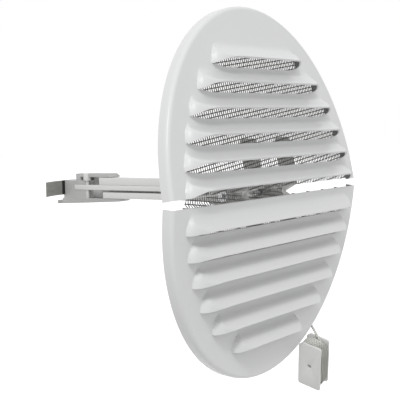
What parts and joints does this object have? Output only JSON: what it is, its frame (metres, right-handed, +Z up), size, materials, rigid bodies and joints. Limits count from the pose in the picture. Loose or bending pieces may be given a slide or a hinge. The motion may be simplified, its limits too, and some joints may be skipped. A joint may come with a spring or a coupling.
{
  "type": "folding round vent grille",
  "caption": "Round wall vent grille in two louvred half-discs hinged on a sprung pin, with an insect mesh, a rear arm with a sliding clamp head and a pull cord on a winder.",
  "frame": {"origin": "middle of the hinge pin, on the axis of the disc and of the arm", "axes": "+X along the split between the halves, +Y back along the arm into the duct, +Z up; the louvred face looks along -Y"},
  "size_m": [0.2, 0.1583, 0.224],
  "materials": {
    "white_paint": "satin powder coat on pressed aluminium",
    "woven_mesh": "woven round wire",
    "white_plastic": "moulded, fine matt grain",
    "zinc_steel": "bright zinc plate",
    "spring_steel": "rolled, dull grey",
    "white_cord": "braided"
  },
  "bodies": {
    "arm_frame": {"hinge_pin": "zinc_steel", "retaining_rings": "zinc_steel", "upper_spring": "spring_steel", "lower_spring": "spring_steel", "yoke": "white_plastic", "arm": "white_plastic", "arm_screws": "zinc_steel"},
    "upper_half": {"upper_grille": "white_paint", "upper_mesh": "woven_mesh", "upper_bracket_left": "zinc_steel", "upper_bracket_right": "zinc_steel"},
    "lower_half": {"lower_grille": "white_paint", "lower_mesh": "woven_mesh", "lower_bracket_left": "zinc_steel", "lower_bracket_right": "zinc_steel", "pull_cord": "white_cord", "wound_cord": "white_cord", "cord_knot": "white_cord", "cord_winder": "white_plastic"},
    "clamp_head": {"sliding_head": "white_plastic", "head_strap": "white_plastic", "strap_pin": "white_plastic", "spring_blade": "spring_steel", "blade_rivet": "zinc_steel"}
  },
  "joints": [
    {"name": "upper_fold", "type": "hinge", "parent": "arm_frame", "child": "upper_half", "pos_m": [0, 0, 0], "axis": [-1, 0, 0], "range_deg": [-9.5, 76.5], "stiffness_Nm_per_rad": 0.08, "deforming": ["upper_spring"]},
    {"name": "lower_fold", "type": "hinge", "parent": "arm_frame", "child": "lower_half", "pos_m": [0, 0, 0], "axis": [1, 0, 0], "range_deg": [-6, 80], "stiffness_Nm_per_rad": 0.08, "deforming": ["lower_spring"]},
    {"name": "head_slide", "type": "slide", "parent": "arm_frame", "child": "clamp_head", "axis": [0, 1, 0], "range_m": [-0.007, 0.01]}
  ]
}
